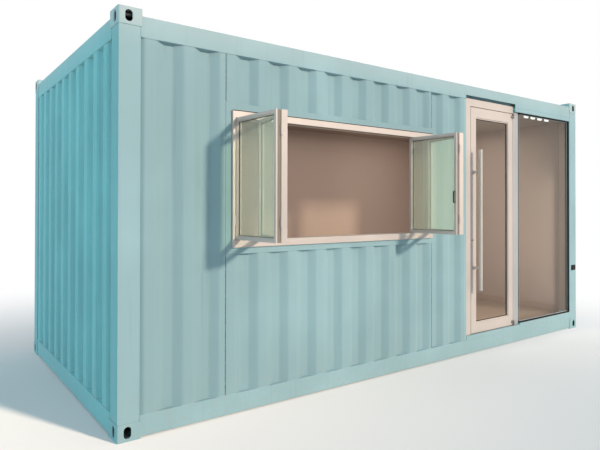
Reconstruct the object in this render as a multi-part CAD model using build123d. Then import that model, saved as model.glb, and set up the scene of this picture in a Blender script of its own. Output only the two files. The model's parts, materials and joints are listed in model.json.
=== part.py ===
from build123d import *
import math
import os

# A steel-framed cabin in the form of a shipping container: castings, posts and rails,
# folded sheet walls, a lined room, a folding serving window, a glazed door and a fixed pane.
# Millimetres.  X runs along the front, Y into the depth, Z up.  The origin is at the middle
# of the ground face.  "along" is measured from the left end, "deep" from the front face.

# overall
LENGTH = 5900.0
WIDTH = 2850.0
HEIGHT = 2896.0

# corner castings
CASTING_ALONG = 162.0
CASTING_DEEP = 178.0
CASTING_HIGH = 118.0
CASTING_WALL = 10.0
CASTING_PLATE = 28.0
CASTING_BACK = 12.0
CASTING_CORNER_R = 14.0
SLOT_LONG = 124.5
SLOT_WIDE = 63.5
SLOT_FROM_END = 81.0
SLOT_FROM_SIDE = 89.0
HOLE_WIDE = 51.0
HOLE_TALL = 79.5
HOLE_FROM_EDGE = 72.0

# frame
FACE_INSET = 4.0
POST = 150.0
POST_WALL = 6.0
RAIL_DEEP = 60.0
RAIL_WALL = 5.0
GROUND_GAP = 10.0
BOTTOM_RAIL_HIGH = 145.0
TOP_RAIL_DROP = 46.0
TOP_RAIL_HIGH = 143.0

# folded wall sheet: outer flat, slope, inner flat, slope
SHEET = 2.0
SHEET_INSET = 8.0
SIDE_OUTER = 77.0
SIDE_SLOPE = 68.0
SIDE_INNER = 70.0
SIDE_FOLD = 36.0
END_OUTER = 110.0
END_SLOPE = 20.0
END_INNER = 107.0
END_FOLD = 46.0
ROOF_TOP = 92.0
ROOF_SLOPE = 14.0
ROOF_VALLEY = 89.0
ROOF_FOLD = 20.0
END_PLATE = 4.0
SEAM = 4.0

# front layout, along the front from the left end
LEFT_FIRST_FLAT = 183.0
WINDOW_BAY_START = 800.0
WINDOW_BAY_FIRST_FLAT = 804.0
WINDOW_STRIP = 50.0
WINDOW_LONG = 2242.0
WINDOW_HIGH = 1036.0
WINDOW_BELOW_RAIL = 419.0
SURROUND_HIGH = 54.0
MIDDLE_BAY_LONG = 508.0
MIDDLE_FIRST_FLAT = 3272.0
DOOR_POST_LONG = 40.0
DOOR_FRAME_LONG = 898.0
MULLION_LONG = 92.0
MULLION_INSET = 30.0
SILL_HIGH = 58.0
DOOR_SILL_HIGH = 40.0
GLASS_HEADER = 45.0
GLASS_JAMB = 10.0
TUBE_WALL = 3.0

# lining and floor
LINING = 50.0
DECK = 28.0
CEILING_BELOW_RAIL = 7.0
CEILING = 40.0
SKIRTING_HIGH = 90.0
SKIRTING = 12.0
JOIST_HIGH = 120.0
JOIST_WIDE = 50.0
JOIST_SPACING = 450.0
JOIST_WALL = 4.0

# folding serving window
FRAME_PROUD = 12.0
FRAME_FACE = 56.0
FRAME_JAMB = 22.0
TRACK_WIDE = 16.0
TRACK_DEPTH = 14.0
TRACK_DEEP = 22.0
LEAF_LONG = 528.0
LEAF_THICK = 45.0
LEAF_GAP = 4.0
LEAF_STILE = 32.0
LEAF_END_DEEP = 6.0
LEAF_FLANGE = 13.0
LEAF_REBATE = 15.0
BEAD = 8.0
BEAD_SET = 9.0
JAMB_CLEARANCE = 3.0
LEFT_JAMB_ANGLE = 2.7
LEFT_TRACK_ANGLE = 14.0
RIGHT_JAMB_ANGLE = 16.2
RIGHT_TRACK_ANGLE = 4.5
BARREL_R = 9.0
BARREL_HIGH = 70.0
BARREL_INSET = 140.0
CARRIER_WIDE = 24.0
BOW_LONG = 110.0
BOW_OUT = 26.0
BOW_BAR = 8.0
BOW_WIDE = 12.0
BOW_BEND = 14.0
BOW_UP = 337.0
GUIDE_WIDE = 13.0
GUIDE_HIGH = 10.0
PANE = 6.0
PANE_BITE = 10.0

# door
DOOR_RECESS = 30.0
DOOR_FRAME_DEEP = 70.0
DOOR_JAMB = 106.0
DOOR_HINGE_JAMB = 10.0
DOOR_HEAD = 65.0
HEAD_GAP = 40.0
HEAD_LIP_HIGH = 15.0
HEAD_LIP = 6.0
DOOR_GAP = 6.0
DOOR_THICK = 45.0
DOOR_STILE = 100.0
DOOR_RAIL = 120.0
DOOR_PANE = 12.0
DOOR_BEAD = 12.0
DOOR_BEAD_SET = 10.0
STOP_THICK = 12.0
STOP_REACH = 14.0
HINGE_PROUD = 14.0
HINGE_R = 9.0
HINGE_PIN_R = 5.0
HINGE_PLATE = 6.0
HINGE_PLATE_LONG = 32.0
HINGE_HALF = 29.0
FIT = 0.3
HANDLE_R = 20.0
HANDLE_LONG = 1500.0
HANDLE_LOW = 470.0
HANDLE_OFFSET = 85.0
STANDOFF_R = 13.0
STANDOFF_INSET = 236.0
LOCK_LONG = 34.0
LOCK_HIGH = 14.0
LOCK_PROUD = 4.0
LOCK_UP = 1003.0
LOCK_FROM_EDGE = 24.0

# fixed pane
GASKET_FACE = 15.0
GASKET_DEEP = 42.0
GASKET_INSET = 8.0
FIXED_PANE = 12.0
FIXED_PANE_INSET = 30.0

# small box on the right front post
BOX_LONG = 86.0
BOX_HIGH = 64.0
BOX_DEEP = 12.0
BOX_LOW = 749.0

# worked-out places
FRONT = -WIDTH / 2
LEFT = -LENGTH / 2
RAIL_TOP = GROUND_GAP + BOTTOM_RAIL_HIGH
TOP_RAIL_TOP = HEIGHT - TOP_RAIL_DROP
TOP_RAIL_LOW = TOP_RAIL_TOP - TOP_RAIL_HIGH
POST_END = FACE_INSET + POST
RAIL_BACK = FACE_INSET + RAIL_DEEP
SIDE_LINING_AT = SHEET_INSET + SIDE_FOLD + SHEET
SIDE_LINING_END = SIDE_LINING_AT + LINING
END_LINING_AT = SHEET_INSET + END_FOLD + SHEET
END_LINING_END = END_LINING_AT + LINING
DECK_TOP = RAIL_TOP + DECK
CEILING_TOP = TOP_RAIL_LOW - CEILING_BELOW_RAIL
CEILING_LOW = CEILING_TOP - CEILING
WINDOW_START = WINDOW_BAY_START + WINDOW_STRIP
WINDOW_END = WINDOW_START + WINDOW_LONG
WINDOW_TOP = TOP_RAIL_LOW - WINDOW_BELOW_RAIL
WINDOW_LOW = WINDOW_TOP - WINDOW_HIGH
MIDDLE_END = WINDOW_END + MIDDLE_BAY_LONG
DOOR_START = MIDDLE_END + DOOR_POST_LONG
DOOR_END = DOOR_START + DOOR_FRAME_LONG
GLASS_START = DOOR_END + MULLION_LONG
GLASS_END = LENGTH - POST_END - GLASS_JAMB
SILL_TOP = RAIL_TOP + SILL_HIGH
DOOR_SILL_TOP = RAIL_TOP + DOOR_SILL_HIGH
GLASS_TOP = TOP_RAIL_LOW - GLASS_HEADER
DOOR_HEAD_LOW = TOP_RAIL_LOW - DOOR_HEAD
LEAF_START = DOOR_START + DOOR_JAMB + DOOR_GAP
LEAF_END = DOOR_END - DOOR_HINGE_JAMB - DOOR_GAP
LEAF_LOW = DOOR_SILL_TOP + DOOR_GAP
LEAF_TOP = DOOR_HEAD_LOW - DOOR_GAP
HINGE_ALONG = LEAF_END + DOOR_GAP / 2
HINGE_DEEP = DOOR_RECESS - HINGE_PROUD

pieces = {}


def block(along, deep, high):
    """A straight block between two values along, two deep and two high."""
    size = (along[1] - along[0], deep[1] - deep[0], high[1] - high[0])
    middle = (LEFT + sum(along) / 2, FRONT + sum(deep) / 2, sum(high) / 2)
    return Pos(*middle) * Box(*size)


def tube(along, deep, high, wall, run):
    """A hollow tube with its wall all round and open at the two ends of its run."""
    spans = [along, deep, high]
    inside = [span if i == run else (span[0] + wall, span[1] - wall) for i, span in enumerate(spans)]
    return block(*spans) - block(*inside)


def capped_tube(along, deep, high, wall):
    """A hollow tube along X, closed at its left end."""
    inside = ((along[0] + wall, along[1]), (deep[0] + wall, deep[1] - wall), (high[0] + wall, high[1] - wall))
    return block(along, deep, high) - block(*inside)


def ring(along, deep, high, face):
    """A frame round an opening, with the same face width on all four sides."""
    opening = ((along[0] + face, along[1] - face), deep, (high[0] + face, high[1] - face))
    return block(along, deep, high) - block(*opening)


def upright(radius, along, deep, high):
    """A round bar that stands between two heights."""
    place = Pos(LEFT + along, FRONT + deep, sum(high) / 2)
    return place * Cylinder(radius, high[1] - high[0])


def fold_depth(at, corners):
    """Depth of a folded line at one place along it."""
    for (a, deep_a), (b, deep_b) in zip(corners, corners[1:]):
        if a <= at <= b:
            return deep_a + (deep_b - deep_a) * (at - a) / (b - a)
    return 0.0


def fold_line(start, end, first_flat, outer, slope, inner, depth):
    """Corners of a folded line from start to end, where one outer flat begins at first_flat."""
    pitch = outer + 2 * slope + inner
    flat = first_flat - pitch * math.ceil((first_flat - start) / pitch + 1)
    corners = []
    while flat < end + pitch:
        corners += [(flat, 0.0), (flat + outer, 0.0)]
        corners += [(flat + outer + slope, depth), (flat + outer + slope + inner, depth)]
        flat += pitch
    between = [corner for corner in corners if start + 1 < corner[0] < end - 1]
    first = (start, fold_depth(start, corners))
    last = (end, fold_depth(end, corners))
    return [first] + between + [last]


def folded_sheet(corners, length):
    """Sheet of even thickness that follows the folded line, run straight for length."""
    line = Polyline(*corners)
    outline = offset(line, SHEET, kind=Kind.INTERSECTION, side=Side.LEFT, closed=True)
    return extrude(make_face(outline), length)


def square_sheet(start, end, length, first_flat, outer, slope, inner, depth):
    """Folded sheet cut square at both ends, with its outer flats at Y 0."""
    corners = fold_line(start - SHEET, end + SHEET, first_flat, outer, slope, inner, depth)
    room = Pos((start + end) / 2, depth / 2, length / 2) * Box(end - start, depth + 4 * SHEET, length)
    return folded_sheet(corners, length) & room


def side_sheet(start, end, low, high, first_flat):
    """Folded sheet of the long sides, in the place of the front wall."""
    sheet = square_sheet(start, end, high - low, first_flat, SIDE_OUTER, SIDE_SLOPE, SIDE_INNER, SIDE_FOLD)
    return Pos(LEFT, FRONT + SHEET_INSET, low) * sheet


def end_sheet():
    """Folded sheet of the left end, between its posts and rails."""
    start, end = POST_END, WIDTH - POST_END
    first_flat = start + END_SLOPE
    high = TOP_RAIL_LOW - RAIL_TOP
    sheet = square_sheet(start, end, high, first_flat, END_OUTER, END_SLOPE, END_INNER, END_FOLD)
    turned = Rot(0, 0, -90) * sheet
    return Pos(LEFT + SHEET_INSET, WIDTH / 2, RAIL_TOP) * turned


def group(shapes):
    """Separate solids of one kind, kept in one piece of the list."""
    return Compound(children=[solid for shape in shapes for solid in shape.solids()])


def both_ends(shape):
    """The same shape at the left and at the right end."""
    return {"left": shape, "right": mirror(shape, Plane.YZ)}


def both_sides(shape):
    """The same shape at the front and at the back."""
    return {"front": shape, "back": mirror(shape, Plane.XZ)}


# corner castings -------------------------------------------------------------

def oval(long, wide, depth):
    """A slot with round ends, long in its own X, cut for a depth about its middle plane."""
    return extrude(SlotOverall(long, wide), depth, both=True)


def casting():
    """Hollow block at the front left bottom corner, with a slot below and a hole in each outer face."""
    body = block((0, CASTING_ALONG), (0, CASTING_DEEP), (0, CASTING_HIGH))
    corner = body.edges().filter_by(Axis.Z).sort_by_distance((LEFT, FRONT, 0))[0]
    body = fillet(corner, CASTING_CORNER_R)
    hollow_along = (CASTING_WALL, CASTING_ALONG - CASTING_WALL)
    hollow_deep = (CASTING_WALL, CASTING_DEEP - CASTING_WALL)
    body -= block(hollow_along, hollow_deep, (CASTING_PLATE, CASTING_HIGH - CASTING_BACK))
    slot_place = Pos(LEFT + SLOT_FROM_END, FRONT + SLOT_FROM_SIDE, 0)
    body -= slot_place * oval(SLOT_LONG, SLOT_WIDE, CASTING_PLATE + 1)
    middle = CASTING_HIGH / 2
    front_place = Pos(LEFT + HOLE_FROM_EDGE, FRONT, middle)
    body -= front_place * Rot(90, 0, 90) * oval(HOLE_TALL, HOLE_WIDE, CASTING_WALL + 1)
    end_place = Pos(LEFT, FRONT + HOLE_FROM_EDGE, middle)
    body -= end_place * Rot(0, 90, 0) * oval(HOLE_TALL, HOLE_WIDE, CASTING_WALL + 1)
    return body


def casting_block(top):
    """The room that a front left casting takes, at the top or the bottom."""
    high = (HEIGHT - CASTING_HIGH, HEIGHT) if top else (0, CASTING_HIGH)
    return block((0, CASTING_ALONG), (0, CASTING_DEEP), high)


def in_four_corners(shape):
    """All four copies of a shape that stands at the front left corner."""
    left = [shape, mirror(shape, Plane.XZ)]
    return left + [mirror(copy, Plane.YZ) for copy in left]


def add_castings():
    low = casting()
    high = Pos(0, 0, HEIGHT) * mirror(low, Plane.XY)
    for level, shape in {"bottom": low, "top": high}.items():
        for side, at_side in both_sides(shape).items():
            for end, at_end in both_ends(at_side).items():
                pieces[f"casting_{level}_{side}_{end}"] = at_end


# posts and rails ---------------------------------------------------------------

def post():
    """Square hollow post between two castings."""
    span = (FACE_INSET, POST_END)
    return tube(span, span, (CASTING_HIGH, HEIGHT - CASTING_HIGH), POST_WALL, 2)


def channel(along, deep, high, wall):
    """Channel that runs along X, with its web to the front and open to the back."""
    inside = (deep[0] + wall, deep[1])
    return block(along, deep, high) - block(along, inside, (high[0] + wall, high[1] - wall))


def cut_corners(shape, top):
    """Take the room of the four castings out of a shape."""
    for corner in in_four_corners(casting_block(top)):
        shape -= corner
    return shape


def cut_posts(shape):
    """Take the room of the four posts out of a shape."""
    span = (FACE_INSET, POST_END)
    for corner in in_four_corners(block(span, span, (CASTING_HIGH, HEIGHT - CASTING_HIGH))):
        shape -= corner
    return shape


def side_rails():
    span = (CASTING_ALONG / 2, LENGTH - CASTING_ALONG / 2)
    deep = (FACE_INSET, RAIL_BACK)
    bottom = channel(span, deep, (GROUND_GAP, RAIL_TOP), RAIL_WALL)
    top = tube(span, deep, (TOP_RAIL_LOW, TOP_RAIL_TOP), RAIL_WALL, 0)
    return cut_posts(cut_corners(bottom, False)), cut_posts(cut_corners(top, True))


def over_door():
    """The room cut out of the foot of the front top rail, in front of the head of the door frame."""
    deep = (0, DOOR_RECESS + HEAD_LIP)
    return block((DOOR_START, DOOR_END), deep, (TOP_RAIL_LOW, TOP_RAIL_LOW + HEAD_GAP))


def end_rails():
    span = (CASTING_DEEP / 2, WIDTH - CASTING_DEEP / 2)
    along = (FACE_INSET, RAIL_BACK)
    bottom = block(along, span, (GROUND_GAP, RAIL_TOP))
    inside = (GROUND_GAP + RAIL_WALL, RAIL_TOP - RAIL_WALL)
    bottom -= block((FACE_INSET + RAIL_WALL, RAIL_BACK), span, inside)
    top = tube(along, span, (TOP_RAIL_LOW, TOP_RAIL_TOP), RAIL_WALL, 1)
    return cut_posts(cut_corners(bottom, False)), cut_posts(cut_corners(top, True))


def parted(rail):
    """An end rail in solids of its own: the run between the castings, and the short ends at the posts."""
    between = block((0, LENGTH), (CASTING_DEEP, WIDTH - CASTING_DEEP), (0, HEIGHT))
    return [rail & between, rail - between]


def add_frame():
    pieces["corner_posts"] = group(in_four_corners(post()))
    for level, rail in zip(("bottom", "top"), side_rails()):
        for side, shape in both_sides(rail).items():
            pieces[f"{level}_rail_{side}"] = shape
    pieces["top_rail_front"] -= over_door()
    for level, rail in zip(("bottom", "top"), end_rails()):
        rails = both_ends(rail).values()
        pieces[f"{level}_end_rails"] = group([part for end in rails for part in parted(end)])


# walls and roof ------------------------------------------------------------------

def add_walls():
    bay_start = WINDOW_BAY_START + SEAM / 2
    bay_end = WINDOW_END - SEAM / 2
    surround_low = WINDOW_LOW - WINDOW_STRIP
    surround_top = WINDOW_TOP + SURROUND_HIGH
    left_end = WINDOW_BAY_START - SEAM / 2
    pieces["front_wall_left"] = side_sheet(POST_END, left_end, RAIL_TOP, TOP_RAIL_LOW, LEFT_FIRST_FLAT)
    over = side_sheet(bay_start, bay_end, surround_top, TOP_RAIL_LOW, WINDOW_BAY_FIRST_FLAT)
    pieces["front_wall_over_window"] = over
    under = side_sheet(bay_start, bay_end, RAIL_TOP, surround_low, WINDOW_BAY_FIRST_FLAT)
    pieces["front_wall_under_window"] = under
    middle = side_sheet(WINDOW_END + SEAM / 2, MIDDLE_END, RAIL_TOP, TOP_RAIL_LOW, MIDDLE_FIRST_FLAT)
    pieces["front_wall_middle"] = middle - surround_block()
    pieces["window_surround"] = window_surround()
    back = side_sheet(POST_END, LENGTH - POST_END, RAIL_TOP, TOP_RAIL_LOW, LEFT_FIRST_FLAT)
    pieces["back_wall"] = mirror(back, Plane.XZ)
    for end, shape in both_ends(end_sheet()).items():
        pieces[f"end_wall_{end}"] = shape
    pieces["roof"] = roof()
    pieces["roof_end_plates"] = roof_end_plates()


def surround_block():
    """The room that the window and its painted surround take in the front wall."""
    along = (WINDOW_BAY_START, WINDOW_END + WINDOW_STRIP)
    return block(along, (0, SIDE_LINING_AT), (WINDOW_LOW - WINDOW_STRIP, WINDOW_TOP + SURROUND_HIGH))


def window_surround():
    """Painted bars round the window, in the thickness of the folded wall."""
    along = (WINDOW_BAY_START, WINDOW_END + WINDOW_STRIP)
    high = (WINDOW_LOW - WINDOW_STRIP, WINDOW_TOP + SURROUND_HIGH)
    bars = block(along, (SHEET_INSET, SIDE_LINING_AT), high)
    return bars - block((WINDOW_START, WINDOW_END), (0, SIDE_LINING_AT), (WINDOW_LOW, WINDOW_TOP))


def roof():
    """Folded roof sheet between the top rails, with its folds across the cabin."""
    start, end = CASTING_ALONG, LENGTH - CASTING_ALONG
    run = WIDTH - 2 * RAIL_BACK
    sheet = square_sheet(start, end, run, start, ROOF_TOP, ROOF_SLOPE, ROOF_VALLEY, ROOF_FOLD)
    laid = Rot(-90, 0, 0) * sheet
    return Pos(LEFT, FRONT + RAIL_BACK, TOP_RAIL_TOP) * laid


def roof_end_plates():
    """Flat plates between the castings, from each top end rail to the folded roof sheet."""
    deep = (CASTING_DEEP, WIDTH - CASTING_DEEP)
    plate = block((RAIL_BACK, CASTING_ALONG), deep, (TOP_RAIL_TOP - END_PLATE, TOP_RAIL_TOP))
    return group(both_ends(plate).values())


# floor, lining and ceiling -----------------------------------------------------------

def floor_joists():
    """Channels across the cabin between the bottom side rails, evenly spaced."""
    first, last = POST_END + JOIST_WIDE, LENGTH - POST_END - JOIST_WIDE
    count = max(2, round((last - first) / JOIST_SPACING))
    step = (last - first) / count
    deep = (RAIL_BACK, WIDTH - RAIL_BACK)
    joists = []
    for i in range(count + 1):
        along = (first + i * step - JOIST_WIDE / 2, first + i * step + JOIST_WIDE / 2)
        web = block(along, deep, (RAIL_TOP - JOIST_HIGH, RAIL_TOP))
        inside = (RAIL_TOP - JOIST_HIGH + JOIST_WALL, RAIL_TOP - JOIST_WALL)
        joists.append(web - block((along[0] + JOIST_WALL, along[1]), deep, inside))
    return group(joists)


def add_floor():
    along = (END_LINING_AT, LENGTH - END_LINING_AT)
    deep = (SIDE_LINING_AT, WIDTH - SIDE_LINING_AT)
    deck = block(along, deep, (RAIL_TOP, DECK_TOP))
    deck -= block((MIDDLE_END, LENGTH), (0, SIDE_LINING_END), (RAIL_TOP, DECK_TOP))
    pieces["floor_deck"] = cut_posts(deck)
    pieces["floor_joists"] = floor_joists()
    ceiling = block(along, deep, (CEILING_LOW, CEILING_TOP))
    opening_deep = max(DOOR_RECESS + DOOR_FRAME_DEEP, SIDE_LINING_END)
    ceiling -= block((MIDDLE_END, LENGTH), (0, opening_deep), (CEILING_LOW, CEILING_TOP))
    pieces["ceiling"] = cut_posts(ceiling)


def add_lining():
    high = (DECK_TOP, CEILING_LOW)
    front_deep = (SIDE_LINING_AT, SIDE_LINING_END)
    front = block((POST_END, MIDDLE_END), front_deep, high)
    front -= block((WINDOW_START, WINDOW_END), front_deep, (WINDOW_LOW, WINDOW_TOP))
    pieces["lining_front"] = front
    back_deep = (WIDTH - SIDE_LINING_END, WIDTH - SIDE_LINING_AT)
    pieces["lining_back"] = block((POST_END, LENGTH - POST_END), back_deep, high)
    end = block((END_LINING_AT, END_LINING_END), (POST_END, WIDTH - POST_END), high)
    pieces["lining_ends"] = group(both_ends(end).values())
    pieces["skirting"] = skirting()


def skirting():
    """Boards along the foot of the back and end linings, joined at the corner posts."""
    high = (DECK_TOP, DECK_TOP + SKIRTING_HIGH)
    back_line = WIDTH - SIDE_LINING_END
    back = block((POST_END, LENGTH - POST_END), (back_line - SKIRTING, back_line), high)
    end = block((END_LINING_END, END_LINING_END + SKIRTING), (POST_END, WIDTH - POST_END), high)
    return group([back] + list(both_ends(end).values()))


# serving window -------------------------------------------------------------------------

def window_frame():
    """Aluminium frame of the window, with a track groove in its head and in its sill."""
    deep = (-FRAME_PROUD, SIDE_LINING_END)
    head = WINDOW_TOP - FRAME_FACE
    sill = WINDOW_LOW + FRAME_FACE
    opening = (WINDOW_START + FRAME_JAMB, WINDOW_END - FRAME_JAMB)
    frame = block((WINDOW_START, WINDOW_END), deep, (WINDOW_LOW, WINDOW_TOP))
    frame -= block(opening, deep, (sill, head))
    track_deep = (TRACK_DEEP - TRACK_WIDE / 2, TRACK_DEEP + TRACK_WIDE / 2)
    frame -= block(opening, track_deep, (head, head + TRACK_DEPTH))
    frame -= block(opening, track_deep, (sill - TRACK_DEPTH, sill))
    return frame


def leaf_height():
    low = WINDOW_LOW + FRAME_FACE + LEAF_GAP
    top = WINDOW_TOP - FRAME_FACE - LEAF_GAP
    return low, top


def leaf_pane():
    """Pane of a window leaf, in the leaf's own place."""
    low, top = leaf_height()
    inset = LEAF_STILE - PANE_BITE
    size = (LEAF_LONG - 2 * inset, PANE, top - low - 2 * inset)
    return Pos(LEAF_LONG / 2, LEAF_THICK / 2, (low + top) / 2) * Box(*size)


def stepped_frame(long, thick, high, stile, rail, bead, bead_set):
    """Glazed leaf about the origin: X long, Y thick, Z high, thinner by a bead round its opening."""
    frame = Box(long, thick, high) - Box(long - 2 * stile, thick, high - 2 * rail)
    step = Box(long - 2 * (stile - bead), bead_set, high - 2 * (rail - bead))
    reach = (thick - bead_set) / 2
    return frame - Pos(0, reach, 0) * step - Pos(0, -reach, 0) * step


def leaf_frame(rebated):
    """Window leaf: knuckle edge at X 0, inner face at Y 0, outer face at +Y."""
    low, top = leaf_height()
    middle = Pos(LEAF_LONG / 2, LEAF_THICK / 2, (low + top) / 2)
    frame = stepped_frame(LEAF_LONG, LEAF_THICK, top - low, LEAF_STILE, LEAF_STILE, BEAD, BEAD_SET)
    frame = middle * frame - leaf_pane()
    if rebated:
        wide = LEAF_THICK - LEAF_FLANGE
        frame -= Pos(LEAF_REBATE / 2, wide / 2, (low + top) / 2) * Box(LEAF_REBATE, wide, top - low)
    return frame


def bow_handle():
    """Flat bar bent to a bow, on the outer face of a leaf's knuckle stile, in the leaf's own place."""
    section = RectangleRounded(2 * BOW_OUT, BOW_LONG, BOW_BEND)
    inside = (2 * (BOW_OUT - BOW_BAR), BOW_LONG - 2 * BOW_BAR)
    section -= RectangleRounded(*inside, BOW_BEND - BOW_BAR)
    section &= Pos(BOW_OUT, 0) * Rectangle(2 * BOW_OUT, BOW_LONG)
    place = Pos((LEAF_STILE - BOW_WIDE) / 2, LEAF_THICK, leaf_height()[0] + BOW_UP)
    return place * extrude(Plane.YZ * section, BOW_WIDE)


def leaf_places():
    """Where each leaf stands, folded out in two pairs: its name, whether it is mirrored, its place."""
    open_start = WINDOW_START + FRAME_JAMB
    open_end = WINDOW_END - FRAME_JAMB
    places = []
    for pair, jamb_angle, track_angle in (
        ("left", LEFT_JAMB_ANGLE, LEFT_TRACK_ANGLE),
        ("right", RIGHT_JAMB_ANGLE, RIGHT_TRACK_ANGLE),
    ):
        slant = math.radians(jamb_angle)
        reach = LEAF_LONG * math.cos(slant) - LEAF_END_DEEP
        inward = LEAF_LONG * math.sin(slant) + LEAF_THICK * math.cos(slant) + JAMB_CLEARANCE
        knuckle = open_start + inward if pair == "left" else open_end - inward
        place = Pos(LEFT + knuckle, FRONT - reach, 0)
        roles = [("jamb", jamb_angle), ("track", track_angle)]
        if pair == "right":
            roles.reverse()
        (first, first_angle), (second, second_angle) = roles
        places.append((f"{pair}_{first}", False, place * Rot(0, 0, 90 + first_angle)))
        places.append((f"{pair}_{second}", True, place * Rot(0, 0, 90 - second_angle)))
    return places


def at_leaf(shape, mirrored, location):
    return location * (mirror(shape, Plane.XZ) if mirrored else shape)


def barrels(name):
    """Hinge barrels in a leaf's own place: at the knuckle once a pair, and at a jamb edge."""
    low, top = leaf_height()
    spots = []
    if name in ("left_jamb", "right_track"):
        spots.append((-BARREL_R / 2, 0.0))
    if name.endswith("jamb"):
        spots.append((LEAF_LONG - BARREL_R, LEAF_THICK + JAMB_CLEARANCE / 2))
    heights = (low + BARREL_INSET, top - BARREL_INSET)
    return [Pos(*spot, height) * Cylinder(BARREL_R, BARREL_HIGH) for spot in spots for height in heights]


def carriers(mirrored, location):
    """Plates above and below a leaf's free corner, each with a guide block in its track groove."""
    low, top = leaf_height()
    side = -1 if mirrored else 1
    corner = (location * Pos(LEAF_LONG - CARRIER_WIDE, side * LEAF_THICK / 2, 0)).position
    along = corner.X - LEFT
    half = CARRIER_WIDE / 2
    deep = (corner.Y - FRONT - half, TRACK_DEEP + half)
    shapes = []
    for start, up in ((top, 1), (low, -1)):
        plate_high = sorted((start + up * FIT, start + up * (LEAF_GAP - FIT)))
        guide_high = sorted((start + up * FIT, start + up * (LEAF_GAP + GUIDE_HIGH)))
        plate = block((along - half, along + half), deep, plate_high)
        guide_along = (along - GUIDE_WIDE / 2, along + GUIDE_WIDE / 2)
        guide_deep = (TRACK_DEEP - GUIDE_WIDE / 2, TRACK_DEEP + GUIDE_WIDE / 2)
        shapes.append(plate + block(guide_along, guide_deep, guide_high))
    return shapes


def add_window():
    frame = window_frame()
    places = leaf_places()
    leaves = {name: at_leaf(leaf_frame(not mirrored), mirrored, place) for name, mirrored, place in places}
    hardware = []
    for name, mirrored, place in places:
        for barrel in barrels(name):
            shape = at_leaf(barrel, mirrored, place) - frame
            for leaf in leaves.values():
                shape -= leaf
            hardware.append(shape.solids().sort_by(SortBy.VOLUME)[-1])
        if name.endswith("track"):
            hardware += carriers(mirrored, place)
    pieces["window_frame"] = frame
    for name, leaf in leaves.items():
        pieces[f"window_leaf_{name}"] = leaf
    pieces["window_panes"] = group([at_leaf(leaf_pane(), mirrored, place) for _, mirrored, place in places])
    pieces["window_hinges"] = group(hardware)
    place = {name: place for name, _, place in places}["right_track"]
    pieces["window_leaf_handle"] = place * bow_handle()


# door -------------------------------------------------------------------------------------

def door_frame():
    """Head and two jambs, with a lip up the front of the head and a stop behind the leaf."""
    deep = (DOOR_RECESS, DOOR_RECESS + DOOR_FRAME_DEEP)
    whole = block((DOOR_START, DOOR_END), deep, (DOOR_SILL_TOP, TOP_RAIL_LOW))
    lip_deep = (DOOR_RECESS, DOOR_RECESS + HEAD_LIP)
    whole += block((DOOR_START, DOOR_END), lip_deep, (TOP_RAIL_LOW, TOP_RAIL_LOW + HEAD_LIP_HIGH))
    opening = (DOOR_START + DOOR_JAMB, DOOR_END - DOOR_HINGE_JAMB)
    frame = whole - block(opening, deep, (DOOR_SILL_TOP, DOOR_HEAD_LOW))
    stop_at = DOOR_RECESS + DOOR_THICK + DOOR_GAP
    stop_deep = (stop_at, stop_at + STOP_THICK)
    stop = block(opening, stop_deep, (DOOR_SILL_TOP, DOOR_HEAD_LOW))
    clear = (opening[0] + STOP_REACH, opening[1] - STOP_REACH)
    stop -= block(clear, stop_deep, (DOOR_SILL_TOP, DOOR_HEAD_LOW - STOP_REACH))
    return frame + stop


def door_pane():
    middle = DOOR_RECESS + DOOR_THICK / 2
    along = (LEAF_START + DOOR_STILE - PANE_BITE, LEAF_END - DOOR_STILE + PANE_BITE)
    high = (LEAF_LOW + DOOR_RAIL - PANE_BITE, LEAF_TOP - DOOR_RAIL + PANE_BITE)
    return block(along, (middle - DOOR_PANE / 2, middle + DOOR_PANE / 2), high)


def door_leaf():
    long = LEAF_END - LEAF_START
    high = LEAF_TOP - LEAF_LOW
    leaf = stepped_frame(long, DOOR_THICK, high, DOOR_STILE, DOOR_RAIL, DOOR_BEAD, DOOR_BEAD_SET)
    middle = (LEFT + LEAF_START + long / 2, FRONT + DOOR_RECESS + DOOR_THICK / 2, LEAF_LOW + high / 2)
    return Pos(*middle) * leaf - door_pane()


def hinge_half(side, high):
    """Plate and knuckle of one half of a hinge: side 1 is on the jamb, side -1 on the leaf."""
    near = HINGE_ALONG + side * DOOR_GAP / 2
    far = near + side * HINGE_PLATE_LONG
    plate = block(sorted((near, far)), (DOOR_RECESS - HINGE_PLATE, DOOR_RECESS), high)
    knuckle = upright(HINGE_R, HINGE_ALONG, HINGE_DEEP, high)
    arm_along = sorted((HINGE_ALONG, near + side * HINGE_R))
    arm = block(arm_along, (HINGE_DEEP, DOOR_RECESS - HINGE_PLATE), high)
    half = plate + knuckle + arm
    if side > 0:
        return half
    return half - upright(HINGE_PIN_R + FIT, HINGE_ALONG, HINGE_DEEP, high)


def hinge_levels():
    """Fixed and moving heights of the bottom and the top hinge."""
    bottom_fixed = (DOOR_SILL_TOP, DOOR_SILL_TOP + HINGE_HALF)
    bottom_moving = (bottom_fixed[1] + FIT, bottom_fixed[1] + FIT + HINGE_HALF)
    top_fixed = (DOOR_HEAD_LOW - HINGE_HALF, DOOR_HEAD_LOW)
    top_moving = (top_fixed[0] - FIT - HINGE_HALF, top_fixed[0] - FIT)
    return (bottom_fixed, bottom_moving), (top_fixed, top_moving)


def add_hinges():
    fixed_halves = []
    moving_halves = []
    for fixed, moving in hinge_levels():
        pin_high = (min(fixed + moving), max(fixed + moving))
        fixed_halves.append(hinge_half(1, fixed) + upright(HINGE_PIN_R, HINGE_ALONG, HINGE_DEEP, pin_high))
        moving_halves.append(hinge_half(-1, moving))
    pieces["door_hinges_jamb"] = group(fixed_halves)
    pieces["door_hinges_leaf"] = group(moving_halves)


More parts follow.
